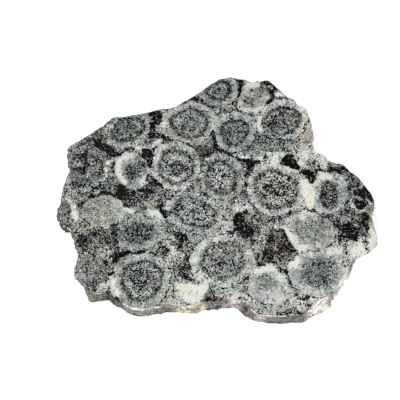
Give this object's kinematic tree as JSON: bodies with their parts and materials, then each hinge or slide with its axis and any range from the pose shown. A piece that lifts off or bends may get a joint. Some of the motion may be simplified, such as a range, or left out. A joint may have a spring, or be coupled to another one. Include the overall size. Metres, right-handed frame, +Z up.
{
  "type": "orbicular diorite slab",
  "caption": "Flat cut slab of orbicular diorite with a polished face, a sawn underside and a broken natural edge.",
  "frame": {"origin": "centre of the slab's bounding box, on the sawn underside that it rests on", "axes": "+Z up out of the polished face, +X along the slab's length, +Y across it, away from the side with the two broad front lobes"},
  "size_m": [0.1402, 0.1152, 0.01],
  "materials": {
    "stone": "satin"
  },
  "bodies": {
    "root": {"slab": "stone"}
  },
  "joints": []
}
